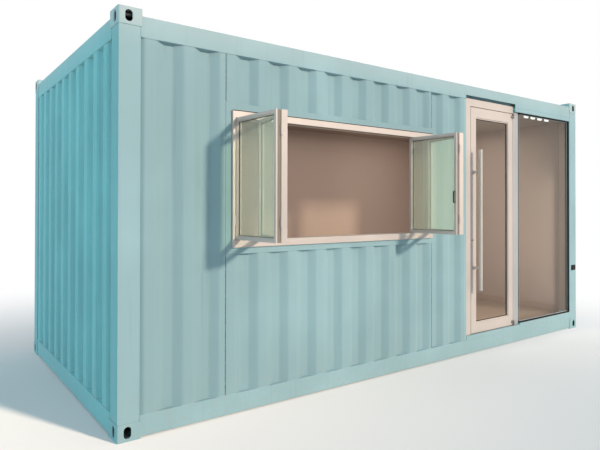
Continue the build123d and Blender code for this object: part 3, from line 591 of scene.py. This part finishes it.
def folded_line(start, end, first_flat, fold):
    """The eased folded line between two places along a wall."""
    return eased_line(fold_corners(start, end, first_flat, *fold), min(BEND, 0.45 * fold[1]))


def sheet_piece(name, node, slot, runs, place, finish=None):
    """Folded sheet that stands for a CAD node; a run is a line with its lower and upper edge."""
    shell = Shell()
    for i, (line, low, high) in enumerate(runs):
        shell.add(sheet_sections(line, low, high, place, len(name) + 7 * i))
    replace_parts(shell.piece(name, "cabin", finish or FINISHES[slot], 25.0), node)


left_line = folded_line(POST_END, SURROUND_LEFT - SEAM, SIDE_START, SIDE)
bay_line = folded_line(SURROUND_LEFT + SEAM, WINDOW_RIGHT - SEAM, BAY_START, SIDE)
middle_line = folded_line(WINDOW_RIGHT + SEAM, MIDDLE_END, MIDDLE_START, SIDE)
middle_notched = folded_line(SURROUND_RIGHT, MIDDLE_END, MIDDLE_START, SIDE)
back_line = folded_line(POST_END, LENGTH - POST_END, SIDE_START, SIDE)
end_line = folded_line(POST_END, WIDTH - POST_END, END_START, END)
roof_line = folded_line(ROOF_ENDS, LENGTH - ROOF_ENDS, ROOF_ENDS, ROOF)
whole = (RAIL_TOP, TOP_RAIL_LOW)
sheet_piece("folded_sheet_left_bay", "front_wall_left", "painted_wall", [(left_line, *whole)], front_place)
sheet_piece("folded_sheet_over_window", "front_wall_over_window", "painted_wall",
            [(bay_line, SURROUND_HIGH[1], TOP_RAIL_LOW)], front_place)
sheet_piece("folded_sheet_under_window", "front_wall_under_window", "painted_wall",
            [(bay_line, RAIL_TOP, SURROUND_HIGH[0])], front_place)
sheet_piece("folded_sheet_middle_bay", "front_wall_middle", "painted_wall",
            [(middle_line, RAIL_TOP, SURROUND_HIGH[0]), (middle_notched, *SURROUND_HIGH),
             (middle_line, SURROUND_HIGH[1], TOP_RAIL_LOW)], front_place)
sheet_piece("folded_sheet_back", "back_wall", "painted_wall", [(back_line, *whole)], back_place)
sheet_piece("folded_sheet_left_end", "end_wall_left", "painted_wall",
            [(end_line, *whole)], left_place, END_PAINT)
sheet_piece("folded_sheet_right_end", "end_wall_right", "painted_wall",
            [(end_line, *whole)], right_place, END_PAINT)
sheet_piece("folded_sheet_roof", "roof", "painted_roof",
            [(roof_line, FRONT + ROOF_SIDES, -FRONT - ROOF_SIDES)], roof_place)


# welds and sealant ----------------------------------------------------------------------

def line_of_points(start, end, step):
    """Evenly spaced points on a straight line between two places."""
    start, end = np.asarray(start, float), np.asarray(end, float)
    count = max(4, int(np.linalg.norm(end - start) / step))
    return start + np.linspace(0, 1, count)[:, None] * (end - start)


def fold_welds(line, level, place, radius=0.0035):
    """The weld that follows a folded sheet's edge along a rail: circles square to the folded line."""
    normal = outward(line)
    dense = np.interp(np.arange(0, len(line) - 1, 0.5), np.arange(len(line)), line[:, 0])
    deep = np.interp(dense, line[:, 0], line[:, 1])
    side = np.column_stack([np.interp(dense, line[:, 0], normal[:, k]) for k in range(2)])
    points = place(np.column_stack([dense, deep, np.full(len(dense), level)]))
    tip = place(np.column_stack([dense + side[:, 0], deep + side[:, 1], np.full(len(dense), level)]))
    return bead_sections(points, radius, tip - points, (0, 0, 1))


welds = Shell()
for line, place in ((left_line, front_place), (bay_line, front_place), (middle_line, front_place),
                    (back_line, back_place), (end_line, left_place), (end_line, right_place)):
    for level in whole:
        welds.add(fold_welds(line, level, place))
welds.piece("wall_sheet_welds", "cabin", FINISHES["painted_frame"], 80.0)


def joint_bead(start, end, across, over):
    """A weld bead along a straight joint of the frame."""
    return bead_sections(line_of_points(start, end, 0.003), 0.0026, across, over)


# welds round the posts at each casting, and up the ends of the rails
ALONG_X, ALONG_Y, UP = np.eye(3)
WELD_NEAR, WELD_FAR = 0.010, 0.151
joints = Shell()
for side in (-1, 1):
    for end in (-1, 1):
        y_face, x_face = side * (WIDTH / 2 - POST_FACE), end * (LENGTH / 2 - POST_FACE)
        near_x, far_x = end * (LENGTH / 2 - WELD_NEAR), end * (LENGTH / 2 - WELD_FAR)
        near_y, far_y = side * (WIDTH / 2 - WELD_NEAR), side * (WIDTH / 2 - WELD_FAR)
        x_rail, y_rail = end * (LENGTH / 2 - POST_END), side * (WIDTH / 2 - POST_END)
        for z in (CASTING_TOP, TOP_CASTING_LOW):
            joints.add(joint_bead((near_x, y_face, z), (far_x, y_face, z), ALONG_Y, UP))
            joints.add(joint_bead((x_face, near_y, z), (x_face, far_y, z), ALONG_X, UP))
        for low, high in ((CASTING_TOP, RAIL_TOP), (TOP_RAIL_LOW, TOP_CASTING_LOW)):
            joints.add(joint_bead((x_rail, y_face, low), (x_rail, y_face, high), ALONG_Y, ALONG_X))
            joints.add(joint_bead((x_face, y_rail, low), (x_face, y_rail, high), ALONG_X, ALONG_Y))
joints.piece("frame_welds", "cabin", FINISHES["painted_frame"], 80.0)

# sealant in the seams between the front's bays, just behind the sheet's face; its dark teal is painted shade
# in the seams
sealant = Shell()
for along in (SURROUND_LEFT, WINDOW_RIGHT):
    for low, high in ((RAIL_TOP, SURROUND_HIGH[0]), (SURROUND_HIGH[1], TOP_RAIL_LOW)):
        ends = front_place(np.array([(along, 0.002, low), (along, 0.002, high)]))
        sealant.add(bead_sections(line_of_points(*ends, 0.006), 0.0036, ALONG_X, ALONG_Y))
sealant.piece("bay_seam_sealant", "cabin", SEAM_SEALANT_AND_SHADE, 80.0)


# seals round the glass --------------------------------------------------------------------

# half the thickness of a leaf's pane, and of the door's and the tall one
LEAF_PANE_HALF, PANE_HALF = 0.003, 0.006
LEAF_LONG, LEAF_THICK, LEAF_STILE = 0.528, 0.045, 0.032
LEAF_HIGH = (1.312, 2.228)
OPENING_LEFT, OPENING_RIGHT = 0.872, 3.070
# a pair's side, then how far its leaf at the jamb and its leaf at the track lean from square to the wall
LEAF_PAIRS = (("left", 2.7, 14.0), ("right", 16.2, 4.5))


def leaf_spots():
    """Knuckle place, angle and handedness of each folded-out leaf.  With a the lean of the leaf at the
    jamb, the pair's knuckle stands long * cos a in front of the wall, less a gap, and
    long * sin a + thick * cos a inward from the jamb, and a gap."""
    spots = []
    for pair, jamb, track in LEAF_PAIRS:
        lean = math.radians(jamb)
        reach = LEAF_LONG * math.cos(lean) - 0.006
        inward = LEAF_LONG * math.sin(lean) + LEAF_THICK * math.cos(lean) + 0.003
        knuckle = OPENING_LEFT + inward if pair == "left" else OPENING_RIGHT - inward
        angles = (jamb, -track) if pair == "left" else (track, -jamb)
        for angle, mirrored in zip(angles, (False, True)):
            spots.append((LEFT + knuckle, FRONT - reach, math.radians(90 + angle), mirrored))
    return spots


def leaf_place(spot):
    """A function that carries a leaf's own points into the shared frame: turned by its angle, moved to
    its knuckle; a mirrored leaf has its thickness the other way."""
    x, y, angle, mirrored = spot
    c, s = math.cos(angle), math.sin(angle)

    def place(points):
        u, v = points[..., 0], points[..., 1] * (-1 if mirrored else 1)
        return np.stack([x + c * u - s * v, y + s * u + c * v, points[..., 2]], -1)

    return place


def wedge(face, reach, width, toward):
    """Section of a glazing seal: from the sash's edge down to the glass, with a rounded nose."""
    t = np.linspace(0, np.pi / 2, 5)
    nose = np.column_stack([width * np.cos(t), face + toward * reach * np.sin(t)])
    return np.vstack([[(-0.001, face)], nose, [(-0.001, face + toward * reach)]])


def inset_outline(x, z, inset_x, inset_z):
    """A rectangle (x0, x1, z0, z1) drawn in from its sides and from its foot and head."""
    return x[0] + inset_x, x[1] - inset_x, z[0] + inset_z, z[1] - inset_z


seals = Shell()
daylight = inset_outline((0.0, LEAF_LONG), LEAF_HIGH, LEAF_STILE, LEAF_STILE)
for spot in leaf_spots():
    for face, toward in ((LEAF_THICK / 2 - LEAF_PANE_HALF, -1), (LEAF_THICK / 2 + LEAF_PANE_HALF, 1)):
        section = wedge(face, 0.006, 0.003, toward)
        seals.add(framed_sections(daylight, section, leaf_place(spot)), ring=True)
seals.piece("leaf_glazing_seals", "cabin", LEAF_SEAL, 50.0)

# channel in the step of each first leaf's knuckle edge, coloured dark as painted shade of the step, with four
# ribs: depth = 3.5 mm + 1.2 mm * cos
REBATE = (0.0145, 0.0315)
y = np.linspace(0.001, REBATE[1], 29)
rib = 0.0035 + 0.0012 * np.cos(2 * np.pi * 4 * (y - y[0]) / (y[-1] - y[0]))
section = np.vstack([np.column_stack([rib, y]), [(REBATE[0], y[-1]), (REBATE[0], y[0])]])
channels = Shell()
for spot in leaf_spots()[::2]:
    channels.add(leaf_place(spot)(upright_sections(section, LEAF_HIGH[0] + 0.001, LEAF_HIGH[1] - 0.001)))
channels.piece("leaf_meeting_channels", "cabin", CHANNEL, 50.0)

# dark brush strips that cover the track grooves in the window's head and sill over their whole depth, and
# stand as painted shade there; their pile stands in tufts
low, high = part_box("window_frame")
HEAD, SILL = 2.234, 1.306
pile = 0.0016 + 0.0004 * np.abs(np.sin(2 * np.pi * 4 * np.linspace(0, 1, 33)))
deep = np.linspace(low.y + 0.006, high.y - 0.003, 33)
strips = Shell()
for level, toward in ((HEAD, -1), (SILL, 1)):
    tips = np.column_stack([deep, level + toward * pile])
    section = np.vstack([tips, [(deep[-1], level), (deep[0], level)]])
    strips.add(lying_sections(section, LEFT + OPENING_LEFT + 0.0005, LEFT + OPENING_RIGHT - 0.0005))
strips.piece("window_track_brushes", "cabin", SEALANT, 50.0)

# drip seal over the head of the window frame, its dark colour also painted shade along the frame's upper edge;
# its section is (deep, high) from the frame's upper edge
DRIP = np.array([(-0.0002, -0.0055), (-0.0002, 0.0), (0.0040, 0.0), (0.0040, 0.0006),
                 (-0.0008, 0.0006), (-0.0010, -0.0055)])
drip = Shell()
drip.add(lying_sections(DRIP + (low.y, high.z), low.x, high.x))
drip.piece("window_head_drip_seal", "cabin", SEALANT, 50.0)

# tan board on the right side of the tall pane's reveal, stepped back to the post behind it
low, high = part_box("glass_jamb")
REVEAL_NEAR, REVEAL_FAR, REVEAL_THICK = 0.0503, 0.1535, 0.004
turn = high.y - FRONT
step = np.array([(-REVEAL_THICK, REVEAL_NEAR), (0.0, REVEAL_NEAR), (0.0, turn), (0.010, turn),
                 (0.010, REVEAL_FAR), (0.006, REVEAL_FAR), (0.006, turn + REVEAL_THICK),
                 (-REVEAL_THICK, turn + REVEAL_THICK)])
reveal = Shell()
reveal.add(upright_sections(step + (low.x, FRONT), low.z + 0.001, CEILING_LOW - 0.001))
reveal.piece("pane_reveal_board", "cabin", FINISHES["wall_lining"])

# tan boards over the corner posts' faces inside the room: an angle section at each corner, its legs
# on the post's two faces; at the front right the reveal board already covers the first leg
near, far = POST_END, POST_END + 0.008
FIRST_LEG, SECOND_LEG, CLEAR = 0.0965, 0.1065, 0.0002
corner_boards = Shell()
for side_x, side_y, first in ((1, 1, FIRST_LEG), (-1, 1, near + CLEAR),
                              (1, -1, FIRST_LEG), (-1, -1, FIRST_LEG)):
    angle = np.array([(near, first), (far, first), (far, far), (SECOND_LEG, far),
                      (SECOND_LEG, near + CLEAR), (near, near + CLEAR)])
    outline = (angle + (LEFT, FRONT)) * (side_x, side_y)
    corner_boards.add(upright_sections(outline, FLOOR_TOP + 0.0005, CEILING_LOW - 0.0005))
corner_boards.piece("room_corner_boards", "cabin", FINISHES["wall_lining"])

low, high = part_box("door_leaf")
middle = (low.y + high.y) / 2
daylight = inset_outline((low.x, high.x), (low.z, high.z), 0.100, 0.120)
door_seals = Shell()
for face, toward in ((middle - PANE_HALF, -1), (middle + PANE_HALF, 1)):
    door_seals.add(framed_sections(daylight, wedge(face, 0.006, 0.004, toward)), ring=True)
door_seals.piece("door_glazing_seals", "door", FINISHES["black_rubber"], 50.0)

# thin brush strip all round the door frame's opening, clear of the leaf; its section is (inward, deep)
BRUSH = np.array([(-0.0004, 0.008), (0.0018, 0.009), (0.0022, 0.012), (0.0022, 0.038),
                  (0.0018, 0.041), (-0.0004, 0.042)])
DOOR_GAP = 0.006
opening = inset_outline((low.x, high.x), (low.z, high.z), -DOOR_GAP, -DOOR_GAP)
edge_strip = Shell()
edge_strip.add(framed_sections(opening, BRUSH + (0, low.y)), ring=True)
edge_strip.piece("door_frame_brush_strip", "cabin", FINISHES["black_rubber"], 50.0)

low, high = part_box("glass_fixed")
middle = (low.y + high.y) / 2
daylight = inset_outline((low.x, high.x), (low.z, high.z), 0.010, 0.010)
bead = Shell()
bead.add(framed_sections(daylight, wedge(middle - PANE_HALF, 0.005, 0.006, -1)), ring=True)
bead.piece("fixed_pane_edge_trim", "cabin", FINISHES["grey_aluminium"], 50.0)


# small fittings -------------------------------------------------------------------------------

# turned profiles, as (distance along the axis, radius)
COLLAR = [(0.0, 0.0135), (0.0, 0.019), (0.0015, 0.021), (0.006, 0.021), (0.008, 0.019), (0.008, 0.0135)]
low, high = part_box("door_pull_handles")
leaf_low, leaf_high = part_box("door_leaf")
bar_x = (low.x + high.x) / 2
STAND_OFF = 0.236
collars = Shell()
for height in (low.z + STAND_OFF, high.z - STAND_OFF):
    for face, toward in ((leaf_low.y, -1), (leaf_high.y, 1)):
        collars.add(turned_sections(COLLAR, 32, (bar_x, face, height), (0, toward, 0)), ring=True)
collars.piece("pull_handle_collars", "door", FINISHES["cream_aluminium"])

SCREW = [(0.0, 0.0048), (0.0006, 0.0046), (0.0013, 0.0036), (0.0016, 0.0022), (0.0006, 0.0020),
         (0.0006, 0.0001)]


def screw_heads(name, body, node, edge):
    """Four low domed heads with a recess, turned about the depth, on the front of a hinge plate: two
    columns from its left edge (1) or its right edge (-1)."""
    low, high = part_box(node)
    face = low.y + 0.008
    shell = Shell()
    for inset in (0.007, 0.023):
        x = low.x + inset if edge == 1 else high.x - inset
        for z in (low.z + 0.0145, high.z - 0.0145):
            shell.add(turned_sections(SCREW, 12, (x, face, z), (0, -1, 0)))
    shell.piece(name, body, FINISHES["hinge_metal"])


screw_heads("jamb_hinge_screws", "cabin", "door_hinges_jamb", -1)
screw_heads("leaf_hinge_screws", "door", "door_hinges_leaf", 1)

# turned caps on the ends of both pull bars: a groove, then a low dome
CAP = [(-0.0060, 0.0199), (-0.0060, 0.0203), (-0.0020, 0.0203), (-0.0020, 0.0196),
       (-0.0010, 0.0196), (-0.0010, 0.0190), (-0.0003, 0.0150), (-0.0001, 0.0001)]
BAR_RADIUS = 0.020
caps = Shell()
for y in (low.y + BAR_RADIUS, high.y - BAR_RADIUS):
    for z, up in ((low.z, -1), (high.z, 1)):
        caps.add(turned_sections(CAP, 40, (bar_x, y, z), (0, 0, up)))
caps.piece("pull_bar_end_caps", "door", FINISHES["cream_aluminium"], 40.0)

# lock cylinder in its plate: a turned rim with a dark keyway
low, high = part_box("door_lock")
centre = ((low.x + high.x) / 2, low.y, (low.z + high.z) / 2)
RIM = [(0.0005, 0.0055), (-0.0012, 0.0055), (-0.0018, 0.0050), (-0.0018, 0.0042),
       (-0.0008, 0.0040), (-0.0008, 0.0001)]
rim = Shell()
rim.add(turned_sections(RIM, 28, centre, (0, 1, 0)))
rim.piece("lock_cylinder", "door", FINISHES["hinge_metal"], 40.0)
KEY_HALF_WIDE, KEY_HALF_HIGH = 0.0006, 0.0028
x, y, z = centre
keyway = Shell()
keyway.add(block_sections((x - KEY_HALF_WIDE, y - 0.0010, z - KEY_HALF_HIGH),
                          (x + KEY_HALF_WIDE, y, z + KEY_HALF_HIGH)))
keyway.piece("lock_keyway", "door", FINISHES["dark_metal"])

low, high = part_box("power_box")
MARGIN = 0.008
cover = Shell()
cover.add(block_sections((low.x + MARGIN, low.y - 0.0001, low.z + MARGIN),
                         (high.x - MARGIN, low.y + 0.004, high.z - MARGIN)))
cover.piece("power_box_cover", "cabin", FINISHES["black_plastic"])

# lamps in a row behind the tall pane, hung under the header
LAMP_LONG, LAMP_DEEP, LAMP_HIGH = 0.062, 0.022, 0.034
header_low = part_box("glass_header")[0].z
lamps = Shell()
for along in (4.852, 4.996, 5.145, 5.299):
    x, y = LEFT + along - LAMP_LONG / 2, FRONT + 0.056
    lamps.add(block_sections((x, y, header_low - LAMP_HIGH), (x + LAMP_LONG, y + LAMP_DEEP, header_low)))
lamps.piece("ceiling_lamps", "cabin", LAMP_COVER)


# stage: floor, light, camera ----------------------------------------------------------------

def stage_floor():
    """Wide pale floor that fades to white far from the cabin, for the camera only; mirror rays see it
    white all over."""
    mesh = bpy.data.meshes.new("studio_floor")
    reach = 60.0
    corners = [(-reach, -reach, 0), (reach, -reach, 0), (reach, reach, 0), (-reach, reach, 0)]
    mesh.from_pydata(corners, [], [(0, 1, 2, 3)])
    f = Finish("studio_floor")
    aside = f.node("VectorMath", {"operation": "ADD"}, {0: f.place, 1: (2.5, 2.0, 0.0)})
    distance = f.node("VectorMath", {"operation": "LENGTH"}, {0: aside}, "Value")
    seen = f.node("LightPath", {}, {}, "Is Camera Ray")
    ground = f.node("BsdfDiffuse", {}, {"Color": (0.84, 0.805, 0.775, 1), "Roughness": 1.0})
    white = f.node("Emission", {}, {"Color": (1, 1, 1, 1), "Strength": 1.0})
    mirror = f.node("LightPath", {}, {}, "Is Glossy Ray")
    plain = (distance.ease(2.2, 8.5) * seen + mirror).clip()
    shader = f.node("MixShader", {}, {0: plain, 1: ground, 2: white})
    f.node("OutputMaterial", {}, {"Surface": shader})
    mesh.materials.append(f.material)
    floor = bpy.data.objects.new("studio_floor", mesh)
    bpy.context.scene.collection.objects.link(floor)


def world_light(colour, strength):
    """Even light from all round; camera, mirror and glass rays see plain white."""
    world = bpy.data.worlds.new("studio")
    bpy.context.scene.world = world
    f = Finish("studio", world)
    camera, mirror, through = (f.node("LightPath", {}, {}, f"Is {ray} Ray")
                               for ray in ("Camera", "Glossy", "Transmission"))
    plain = (camera + mirror + through).clip()
    soft = f.node("Background", {}, {"Color": (*colour, 1), "Strength": strength})
    white = f.node("Background", {}, {"Color": (1, 1, 1, 1), "Strength": 1.0})
    shader = f.node("MixShader", {}, {0: plain, 1: soft, 2: white})
    f.node("OutputWorld", {}, {"Surface": shader})


def sun(name, travel, energy, colour, spread):
    """A lamp far away whose light travels in one direction, softened by its spread in degrees."""
    data = bpy.data.lights.new(name, "SUN")
    data.energy, data.color, data.angle = energy, colour, math.radians(spread)
    lamp = bpy.data.objects.new(name, data)
    x, y, z = travel
    lamp.rotation_euler = (math.atan2(math.hypot(x, y), -z), 0, math.atan2(y, x) - math.pi / 2)
    bpy.context.scene.collection.objects.link(lamp)


def area(name, centre, size, power, colour, turn=0.0, aside=0.0):
    """A soft lamp as wide and deep as its size, unseen itself; it faces down, or is turned about X by
    some degrees and then about Z."""
    data = bpy.data.lights.new(name, "AREA")
    data.shape, data.size, data.size_y = "RECTANGLE", *size
    data.energy, data.color = power, colour
    lamp = bpy.data.objects.new(name, data)
    lamp.location = centre
    lamp.rotation_euler = (math.radians(turn), 0, math.radians(aside))
    lamp.visible_camera = lamp.visible_glossy = lamp.visible_transmission = False
    bpy.context.scene.collection.objects.link(lamp)


stage_floor()
world_light((0.72, 0.87, 1.0), 0.70)
sun("key_light", (-0.376, 0.864, -0.336), 2.6, (1.0, 0.84, 0.69), 5.0)
sun("left_fill", (1.0, 0.0, -0.08), 0.85, (0.64, 0.92, 1.0), 40.0)
area("room_light", (0.6, 0.1, 2.62), (4.0, 1.8), 40.0, PLAIN_WHITE)
area("room_fill", (1.05, -1.20, 1.12), (3.5, 1.7), 29.0, PLAIN_WHITE, 90.0)
area("room_side", (1.0, -0.35, 1.50), (1.4, 2.1), 15.0, PLAIN_WHITE, 90.0, -90.0)

camera_data = bpy.data.cameras.new("camera")
camera_data.sensor_width, camera_data.lens = 36.0, 32.67
camera_data.shift_x, camera_data.shift_y = -0.0153, -0.0375
camera = bpy.data.objects.new("camera", camera_data)
camera.location = (-4.0702, -5.0489, 1.5618)
camera.rotation_euler = (math.radians(90.43), math.radians(-0.08), math.radians(-36.58))
bpy.context.scene.collection.objects.link(camera)
bpy.context.scene.camera = camera
bpy.context.scene.view_settings.view_transform = "Standard"

bpy.context.view_layer.update()
